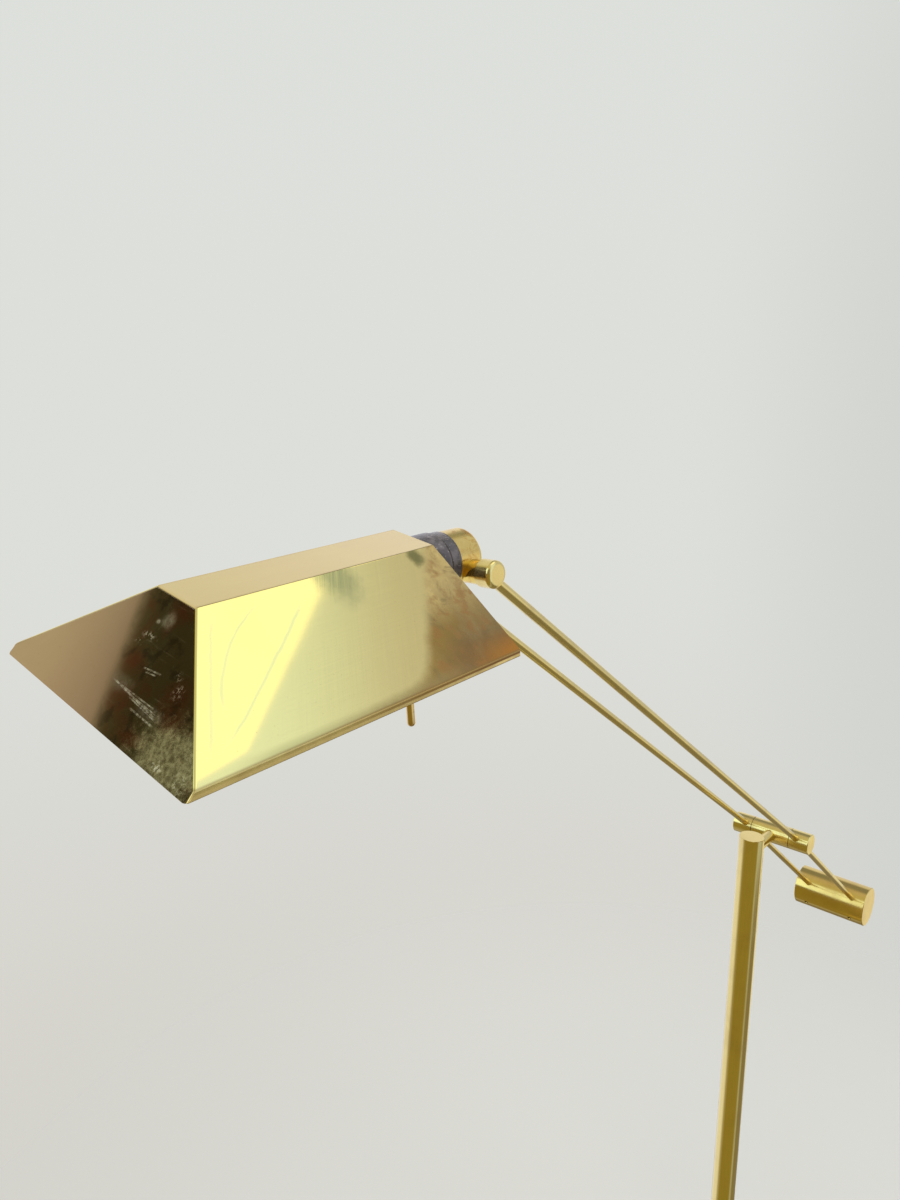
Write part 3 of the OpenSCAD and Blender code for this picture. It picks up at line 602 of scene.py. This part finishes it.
LOOK = {
    "base_pad": "felt",
    "base_weight": "iron",
    "base_cover": "foot",
    "base_bush": "foot",
    "base_nut": "steel",
    "cord_gland": "phenolic",
    "base_lead": "wire",
    "swivel_washer": "nylon",
    "post_foot": "inner",
    "spindle_clip": "steel",
    "post_tube": "tube",
    "post_top_plug": "tube",
    "post_cable": "wire",
    "pivot_neck": "turned",
    "pivot_tube": "turned",
    "pivot_bushes": "washer",
    "pivot_axle": "steel",
    "arm_collar_left": "turned",
    "arm_collar_right": "turned",
    "front_rod_left": "rod",
    "front_rod_right": "rod",
    "rear_rod_left": "rod",
    "rear_rod_right": "rod",
    "counterweight": "weight",
    "weight_lid": "weight",
    "weight_core": "iron",
    "weight_screws": "steel",
    "arm_wires": "wire",
    "head_collar_left": "turned",
    "head_collar_right": "turned",
    "head_axle": "steel",
    "head_washers": "washer",
    "head_barrel": "barrel",
    "socket_cap": "cap",
    "lamp_holder": "phenolic",
    "retaining_clip": "steel",
    "switch_body": "nylon",
    "contact_disc": "nylon",
    "centre_contact": "inner",
    "screw_shell": "inner",
    "holder_leads": "wire",
    "bulb_cap": "steel",
    "bulb_glass": "glass",
    "shade_shell": "shade_inside",
    "shade_front_panel": "shade_front",
    "shade_rear_panel": "shade_far",
    "shade_ring_outer": "phenolic",
    "shade_ring_inner": "phenolic",
    "switch_stem": "stem",
}


def paint(obj, *looks):
    obj.data.materials.clear()
    for look in looks:
        obj.data.materials.append(M[look])


for node_name, node_obj in NODES.items():
    paint(node_obj, LOOK[node_name])


# ---------------------------------------------------------------- meshes
def mesh_object(name, verts, faces, normals, looks, face_look=None):
    me = bpy.data.meshes.new(name)
    me.from_pydata([tuple(v) for v in verts], [], faces)
    me.polygons.foreach_set("use_smooth", [True] * len(me.polygons))
    ob = bpy.data.objects.new(name, me)
    scene.collection.objects.link(ob)
    paint(ob, *looks)
    if face_look:
        me.polygons.foreach_set("material_index", face_look)
    me.update()
    if normals:
        me.normals_split_custom_set_from_vertices([tuple(n) for n in normals])
    return ob


def rounded(points, closed=False, arc=6):
    """Corner points (a, b, radius), walked with the solid on the left, as [(a, b, normal a, normal b)] with each corner turned on its radius."""
    n = len(points)
    out = []
    for i, (a, b, rad) in enumerate(points):
        prev, nxt = points[i - 1], points[(i + 1) % n]
        if not closed and i in (0, n - 1):
            p, q = (points[0], points[1]) if i == 0 else (points[-2], points[-1])
            ta, tb = q[0] - p[0], q[1] - p[1]
            ln = math.hypot(ta, tb)
            out.append((a, b, tb / ln, -ta / ln))
            continue
        ia, ib = a - prev[0], b - prev[1]
        oa, ob = nxt[0] - a, nxt[1] - b
        li, lo = math.hypot(ia, ib), math.hypot(oa, ob)
        ia, ib, oa, ob = ia / li, ib / li, oa / lo, ob / lo
        bend = math.atan2(ia * ob - ib * oa, ia * oa + ib * ob)
        cut = rad * math.tan(abs(bend) / 2)
        sign = 1 if bend > 0 else -1
        ca, cb = a - ia * cut - sign * ib * rad, b - ib * cut + sign * ia * rad
        start = math.atan2(-ia, ib)
        for k in range(arc + 1):
            t = start + bend * k / arc
            na, nb = math.cos(t), math.sin(t)
            out.append((ca + sign * rad * na, cb + sign * rad * nb, na, nb))
    return out


def lathe(name, points, at, axis, looks, seg=96, closed=False, arc=6, warp=None):
    """A turned piece. points are (radius, height, corner radius) in mm from the foot of the axis outwards and up."""
    prof = rounded(points, closed, arc)
    w = Vector(axis).normalized()
    u = w.orthogonal().normalized()
    v = w.cross(u)
    at = Vector(at)
    verts, normals, rows = [], [], []
    for r, h, nr, nh in prof:
        row = []
        if r < 1e-6:
            row = [len(verts)] * seg
            verts.append((at + w * h) * MM)
            normals.append(w * (1 if nh > 0 else -1))
        else:
            for j in range(seg):
                t = 2 * math.pi * j / seg
                e = u * math.cos(t) + v * math.sin(t)
                row.append(len(verts))
                verts.append((at + w * h + e * r) * MM)
                normals.append((e * nr + w * nh).normalized())
        rows.append(row)
    faces = []
    count = len(rows) if closed else len(rows) - 1
    for i in range(count):
        a, b = rows[i], rows[(i + 1) % len(rows)]
        for j in range(seg):
            k = (j + 1) % seg
            f = [a[j], a[k], b[k], b[j]]
            f = [x for n_, x in enumerate(f) if x not in f[:n_]]
            if len(f) > 2:
                faces.append(f)
    return mesh_object(name, verts, faces, normals, looks)


def shade_shell():
    """The folded sheet: lips, sloping sides and flat top, with turned folds and slanting ends."""
    half, top = SHADE_W / 2, TOP_W / 2
    edge = 0.2

    def outline(off, fold):
        """Half-open outline at a depth below the outer skin, from the +Y lip's edge over the top, as (y, z, ny, nz, part)."""
        slope = math.atan2(SHADE_H - LIP_H, half - top)
        y0 = half - off
        # where the offset lip and slope meet
        ny, nz = math.sin(slope), math.cos(slope)
        px, pz = half - off * ny, LIP_H - off * nz
        z1 = pz + (px - y0) * math.tan(slope)
        z2 = SHADE_H - off
        y2 = px - (z2 - pz) / math.tan(slope)
        pts = [(y0, edge, 0.0), (y0, z1, fold), (y2, z2, fold), (-y2, z2, fold), (-y0, z1, fold), (-y0, edge, 0.0)]
        return rounded(pts, False, 6)

    def parts(ring):
        return ring

    outer, inner = outline(0.0, 1.9), outline(SHEET, 0.9)
    outer_in, inner_in = outline(edge, 1.7), outline(SHEET - edge, 1.1)
    steps = 48
    verts, normals, faces, look = [], [], [], []

    def ends(z, t, inset):
        x0 = REAR_SET * z / SHADE_H
        x1 = SHADE_L - FRONT_SET * z / SHADE_H
        # the front lower corners are turned
        rad = 1.5
        if z < rad:
            x1 -= rad - math.sqrt(max(rad * rad - (rad - z) ** 2, 0.0))
        return x0 + inset + (x1 - x0 - 2 * inset) * t

    front_n = turn(SHADE_H, 0, FRONT_SET)
    rear_n = turn(-SHADE_H, 0, REAR_SET)
    n_out = len(outer)

    def ring(t, inset, o, i, normal=None, share=1.0):
        """One closed loop round the sheet's section: outer skin then inner skin back, with the lip edges turned."""
        idx = []
        for y, z, a, b in o:
            idx.append(len(verts))
            verts.append(to_row(ends(z, t, inset), y, z))
            side = turn(0, a, b)
            if normal:
                side = (side * math.sqrt(1 - share * share) + normal * share).normalized()
            normals.append(side)
        left_y = (o[-1][0], i[-1][0])
        for f in (0.22, 0.78):
            idx.append(len(verts))
            verts.append(to_row(ends(0, t, inset), left_y[0] + (left_y[1] - left_y[0]) * f, 0.0))
            normals.append(normal or turn(0, 0, -1))
        for y, z, a, b in reversed(i):
            idx.append(len(verts))
            verts.append(to_row(ends(z, t, inset), y, z))
            normals.append(normal if normal and share == 1.0 else turn(0, -a, -b))
        right_y = (i[0][0], o[0][0])
        for f in (0.22, 0.78):
            idx.append(len(verts))
            verts.append(to_row(ends(0, t, inset), right_y[0] + (right_y[1] - right_y[0]) * f, 0.0))
            normals.append(normal or turn(0, 0, -1))
        return idx

    rings = [ring(0, 0, outer_in, inner_in, rear_n)]
    soft = 0.85
    for k in range(steps + 1):
        t = k / steps
        rings.append(ring(t, edge + (soft - edge) * t, outer, inner))
    # the front edge is turned over the sheet's thickness
    for k in range(1, 8):
        a = math.pi / 2 * k / 7
        deep = soft * (1 - math.cos(a))
        rings.append(
            ring(1, soft * (1 - math.sin(a)), outline(deep, 1.9 - deep), inner, front_n, math.sin(a))
        )
    total = len(rings[0])

    def look_of(j):
        """Material of the strip from point j to j + 1 of a loop."""
        if j < n_out - 1:
            # outer skin: lip, fold, side, fold, top, fold, side, fold, lip
            if j < 4:
                return 0
            if j < 11:
                return 1
            if j < 18:
                return 2
            if j < 25:
                return 3
            return 0
        if n_out + 2 <= j < 2 * n_out + 1:
            return 4
        return 0

    for r in range(len(rings) - 1):
        a, b = rings[r], rings[r + 1]
        for j in range(total):
            k = (j + 1) % total
            faces.append((a[j], a[k], b[k], b[j]))
            look.append(look_of(j))
    # the sheet's edges at the two ends
    for ring_, flip, mat in ((rings[0], True, 0), (rings[-1], False, 5)):
        o = ring_[:n_out]
        i = list(reversed(ring_[n_out + 2 : 2 * n_out + 2]))
        for j in range(n_out - 1):
            f = [o[j], o[j + 1], i[j + 1], i[j]]
            faces.append(tuple(reversed(f)) if flip else tuple(f))
            look.append(mat)
        left = [o[-1], ring_[n_out], ring_[n_out + 1], i[-1]]
        right = [i[0], ring_[2 * n_out + 2], ring_[2 * n_out + 3], o[0]]
        for f in (left, right):
            faces.append(tuple(reversed(f)) if flip else tuple(f))
            look.append(mat)
    return mesh_object(
        "shade_shell_sheet",
        verts,
        faces,
        normals,
        ("shade_lip", "shade_near", "shade_top", "shade_far", "shade_inside", "shade_front"),
        look,
    )


def shade_front():
    """The slanting front sheet, set flush between the folded sides, with turned lower corners and softened edges."""
    half, top = SHADE_W / 2, TOP_W / 2
    gap = SHEET + 0.02
    slope = math.atan2(SHADE_H - LIP_H, half - top)
    k = math.hypot(SHADE_H, FRONT_SET) / SHADE_H

    def outline(off):
        y0 = half - off
        ny, nz = math.sin(slope), math.cos(slope)
        px, pz = half - off * ny, LIP_H - off * nz
        z1 = pz + (px - y0) * math.tan(slope)
        z2 = SHADE_H - off
        y2 = px - (z2 - pz) / math.tan(slope)
        low = off - gap
        pts = [
            (-y0, low * k, 1.5),
            (y0, low * k, 1.5),
            (y0, z1 * k, 1.2),
            (y2, z2 * k, 1.2),
            (-y2, z2 * k, 1.2),
            (-y0, z1 * k, 1.2),
        ]
        return rounded(pts, True, 8)

    slant = Vector((-FRONT_SET, 0, SHADE_H)).normalized()
    face_n = Vector((SHADE_H, 0, FRONT_SET)).normalized()

    def place(y, s, depth):
        p = Vector((SHADE_L, y, 0)) + slant * s - face_n * depth
        return to_row(*p)

    verts, normals, faces = [], [], []
    loops = []
    nf, nb = turn(*face_n), turn(*(-face_n))
    rim = 0.05
    thick = SHEET * 0.98
    for off, depth, kind in (
        (gap + rim, 0.0, "f"),
        (gap, rim, "s"),
        (gap, thick - rim, "s"),
        (gap + rim, thick, "b"),
    ):
        loop = []
        for y, s, a, b in outline(off):
            loop.append(len(verts))
            verts.append(place(y, s, depth))
            if kind == "f":
                normals.append(nf)
            elif kind == "b":
                normals.append(nb)
            else:
                d = Vector((0, a, 0)) + slant * b
                normals.append(turn(*d))
        loops.append(loop)
    n = len(loops[0])
    faces.append(tuple(loops[0]))
    for a, b in zip(loops, loops[1:]):
        for j in range(n):
            q = (j + 1) % n
            faces.append((a[j], b[j], b[q], a[q]))
    faces.append(tuple(reversed(loops[-1])))
    look = [0] * (len(faces) - 1) + [1]
    return mesh_object("shade_front_sheet", verts, faces, normals, ("shade_front", "shade_inside"), look)


shell = shade_shell()
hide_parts("shade_shell")
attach(shell, "shade")
panel = shade_front()
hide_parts("shade_front_panel")
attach(panel, "shade")


# ---------------------------------------------------------------- stage
def stage_mesh(name, verts, faces):
    me = bpy.data.meshes.new(name)
    me.from_pydata(verts, [], faces)
    ob = bpy.data.objects.new(name, me)
    scene.collection.objects.link(ob)
    return ob


PALE = (0.70, 0.715, 0.685)


def floor():
    ring = [(4.5 * math.cos(2 * math.pi * k / 96), 4.5 * math.sin(2 * math.pi * k / 96), 0.0) for k in range(96)]
    ob = stage_mesh("floor", ring, [tuple(range(96))])
    m = Mat("floor_pale")
    p = m.coords()
    x, y, z = m.xyz(p)
    r = m.calc("SQRT", m.calc("ADD", m.calc("MULTIPLY", x, x), m.calc("MULTIPLY", y, y)))
    fade = m.step(r, 1.9, 0.5)
    grain = m.noise(p, 260, 3, 0.6)
    m.set("Base Color", m.mix(m.line(grain, 0.3, 0.7, 0.0, 0.04), (0.535, 0.518, 0.488), (0.49, 0.475, 0.45)))
    m.set("Alpha", fade)
    m.b.inputs["Roughness"].default_value = 0.9
    m.b.inputs["Specular IOR Level"].default_value = 0.0
    ob.data.materials.append(m.m)
    ob.visible_glossy = False
    return ob


def softbox():
    """The overhead card whose reflection lights the sloping side."""
    z = 2.9
    poly = [(-0.70, -0.012), (-0.362, 0.428), (-0.246, 0.579), (-0.129, 0.729), (-0.044, 0.840), (0.076, 0.864), (0.45, 0.93), (0.75, 0.60), (0.45, 0.10), (-0.20, -0.20)]
    ob = stage_mesh("softbox", [(x, y, z) for x, y in poly], [tuple(range(len(poly)))])
    me = bpy.data.materials.new("softbox_cloth")
    me.use_nodes = True
    t = me.node_tree
    t.nodes.clear()
    out = t.nodes.new("ShaderNodeOutputMaterial")
    em = t.nodes.new("ShaderNodeEmission")
    em.inputs["Color"].default_value = (1.0, 1.0, 0.87, 1)
    em.inputs["Strength"].default_value = 1.35
    t.links.new(em.outputs[0], out.inputs[0])
    ob.data.materials.append(me)
    ob.visible_camera = False
    ob.visible_shadow = False
    return ob


def world():
    w = bpy.data.worlds.new("studio")
    scene.world = w
    w.use_nodes = True
    t = w.node_tree
    t.nodes.clear()

    def add(kind, ins=None, **props):
        n = t.nodes.new("ShaderNode" + kind)
        for key, value in props.items():
            setattr(n, key, value)
        for key, value in (ins or {}).items():
            if isinstance(value, bpy.types.NodeSocket):
                t.links.new(value, n.inputs[key])
            else:
                n.inputs[key].default_value = value
        return n

    def step(value, lo, hi, a=0.0, b=1.0):
        return add(
            "MapRange",
            {"Value": value, "From Min": lo, "From Max": hi, "To Min": a, "To Max": b},
            interpolation_type="SMOOTHSTEP",
        ).outputs[0]

    def calc(op, a, b=0.0):
        n = add("Math", operation=op)
        for i, v in ((0, a), (1, b)):
            if isinstance(v, bpy.types.NodeSocket):
                t.links.new(v, n.inputs[i])
            else:
                n.inputs[i].default_value = v
        return n.outputs[0]

    def mix(fac, a, b):
        n = add("Mix", data_type="RGBA")
        for i, v in ((0, fac), (6, a), (7, b)):
            if isinstance(v, bpy.types.NodeSocket):
                t.links.new(v, n.inputs[i])
            else:
                n.inputs[i].default_value = (*v, 1.0) if i else v
        return n.outputs[2]

    d = add("TexCoord").outputs["Generated"]
    sep = add("SeparateXYZ", {0: d}).outputs
    dx, dy, dz = sep[0], sep[1], sep[2]
    def both_of(*facs):
        out = facs[0]
        for fac in facs[1:]:
            out = calc("MULTIPLY", out, fac)
        return out

    # the room: pale behind the lamp, dim and warm on the viewer's side
    c = mix(step(dx, -0.66, -0.40), (0.60, 0.62, 0.66), (0.85, 0.985, 1.15))
    back = mix(step(dx, -0.66, -0.40), (0.88, 0.89, 0.95), (0.76, 0.775, 0.75))
    c = mix(step(dy, 0.05, -0.40), c, back)
    # a dim ceiling, lighter over the viewer
    ceiling = both_of(step(dz, 0.50, 0.70), step(dy, 0.10, -0.10), step(dy, -0.56, -0.44))
    c = mix(ceiling, c, mix(step(dx, -0.35, 0.05), (0.28, 0.29, 0.28), (0.60, 0.55, 0.44)))
    c = mix(step(dx, 0.02, 0.45), c, mix(step(dz, 0.52, 0.74), (0.25, 0.22, 0.16), (0.60, 0.58, 0.36)))
    c = mix(both_of(step(dz, 0.22, -0.02), step(dx, -0.25, 0.20)), c, (0.29, 0.235, 0.06))
    # the floor below the lamp and the backdrop's foot behind it
    c = mix(both_of(step(dz, -0.36, -0.52), step(dx, -0.84, -0.66), step(dx, 0.15, -0.25)), c, (0.25, 0.22, 0.14))
    c = mix(both_of(step(dx, -0.72, -0.82), step(dz, -0.25, -0.42)), c, (0.86, 0.80, 0.56))
    # a pale panel at the right
    c = mix(both_of(step(dy, 0.48, 0.60), step(dz, -0.38, -0.26), step(dz, 0.24, 0.08), step(dx, -0.50, -0.65)), c, (0.82, 0.80, 0.74))
    # a pale wall on the left, low down
    c = mix(both_of(step(dy, -0.25, -0.60), step(dx, 0.75, 0.35), step(dz, 0.34, 0.16)), c, (0.86, 0.88, 0.98))
    # a window behind the viewer, seen in the bar and the weight
    window = both_of(step(dx, 0.50, 0.62), step(dz, 0.12, 0.24), step(dz, 0.80, 0.68), step(dy, -0.56, -0.44), step(dy, 0.25, 0.10))
    c = mix(window, c, (1.20, 1.48, 1.60))
    # a dim doorway towards +X -Y, seen in the front sheet
    k = add("VectorMath", {0: d, 1: (0.4128, 0.6905, 0.594)}, operation="DOT_PRODUCT").outputs["Value"]
    front = both_of(step(dx, 0.15, 0.32), step(dx, 0.72, 0.64), step(dy, -0.45, -0.56), step(dz, 0.30, 0.38), step(dz, 0.68, 0.59))
    c = mix(front, c, mix(step(k, -0.08, -0.01), (0.49, 0.46, 0.46), (0.40, 0.38, 0.38)))
    c = mix(calc("MULTIPLY", front, step(k, -0.006, 0.010)), c, (0.095, 0.088, 0.070))
    room = add("Background", {"Color": c, "Strength": 1.0})
    # the plain backdrop the camera sees
    b = mix(step(dz, -0.75, -0.1), (0.66, 0.64, 0.59), (0.722, 0.735, 0.702))
    b = mix(step(dz, -0.1, 0.4), b, (0.72, 0.742, 0.708))
    beside = add("VectorMath", {0: d, 1: (-0.679, 0.734, 0.0)}, operation="DOT_PRODUCT").outputs["Value"]
    b = mix(step(beside, 0.25, 0.52), b, (0.64, 0.655, 0.625))
    plain = add("Background", {"Color": b, "Strength": 1.0})
    ray = add("LightPath").outputs["Is Camera Ray"]
    both = add("MixShader", {0: ray})
    t.links.new(room.outputs[0], both.inputs[1])
    t.links.new(plain.outputs[0], both.inputs[2])
    out = add("OutputWorld")
    t.links.new(both.outputs[0], out.inputs["Surface"])


def lights():
    for name, place, size, power, seen in (
        ("key", (0.4, 0.6, 3.2), 2.4, 75, False),
        ("fill", (-1.6, -1.8, 2.4), 1.6, 22, False),
    ):
        la = bpy.data.lights.new(name, "AREA")
        la.shape = "SQUARE"
        la.size = size
        la.energy = power
        ob = bpy.data.objects.new(name, la)
        scene.collection.objects.link(ob)
        aim = Vector((0.1, 0, 0.6)) - Vector(place)
        ob.matrix_world = Matrix.Translation(place) @ aim.to_track_quat("-Z", "Y").to_matrix().to_4x4()
        ob.visible_glossy = seen
        ob.visible_camera = False


floor()
softbox()
world()
lights()
scene.view_settings.view_transform = "Standard"
scene.view_settings.look = "None"

# ---------------------------------------------------------------- camera
cam = bpy.data.cameras.new("view")
cam.lens = 25.2373
cam.sensor_width = 36.0
cam.sensor_fit = "AUTO"
cam.clip_start = 0.02
cam.clip_end = 60.0
eye = bpy.data.objects.new("view", cam)
scene.collection.objects.link(eye)
ahead = Vector((-0.71824, -0.6646, -0.20599)).normalized()
right = Vector((-0.67918, 0.73397, 0.00009))
right = (right - ahead * right.dot(ahead)).normalized()
up = right.cross(ahead)
eye.matrix_world = Matrix(
    (
        (right.x, up.x, -ahead.x, 0.96266),
        (right.y, up.y, -ahead.y, 0.37897),
        (right.z, up.z, -ahead.z, 1.40338),
        (0, 0, 0, 1),
    )
)
scene.camera = eye
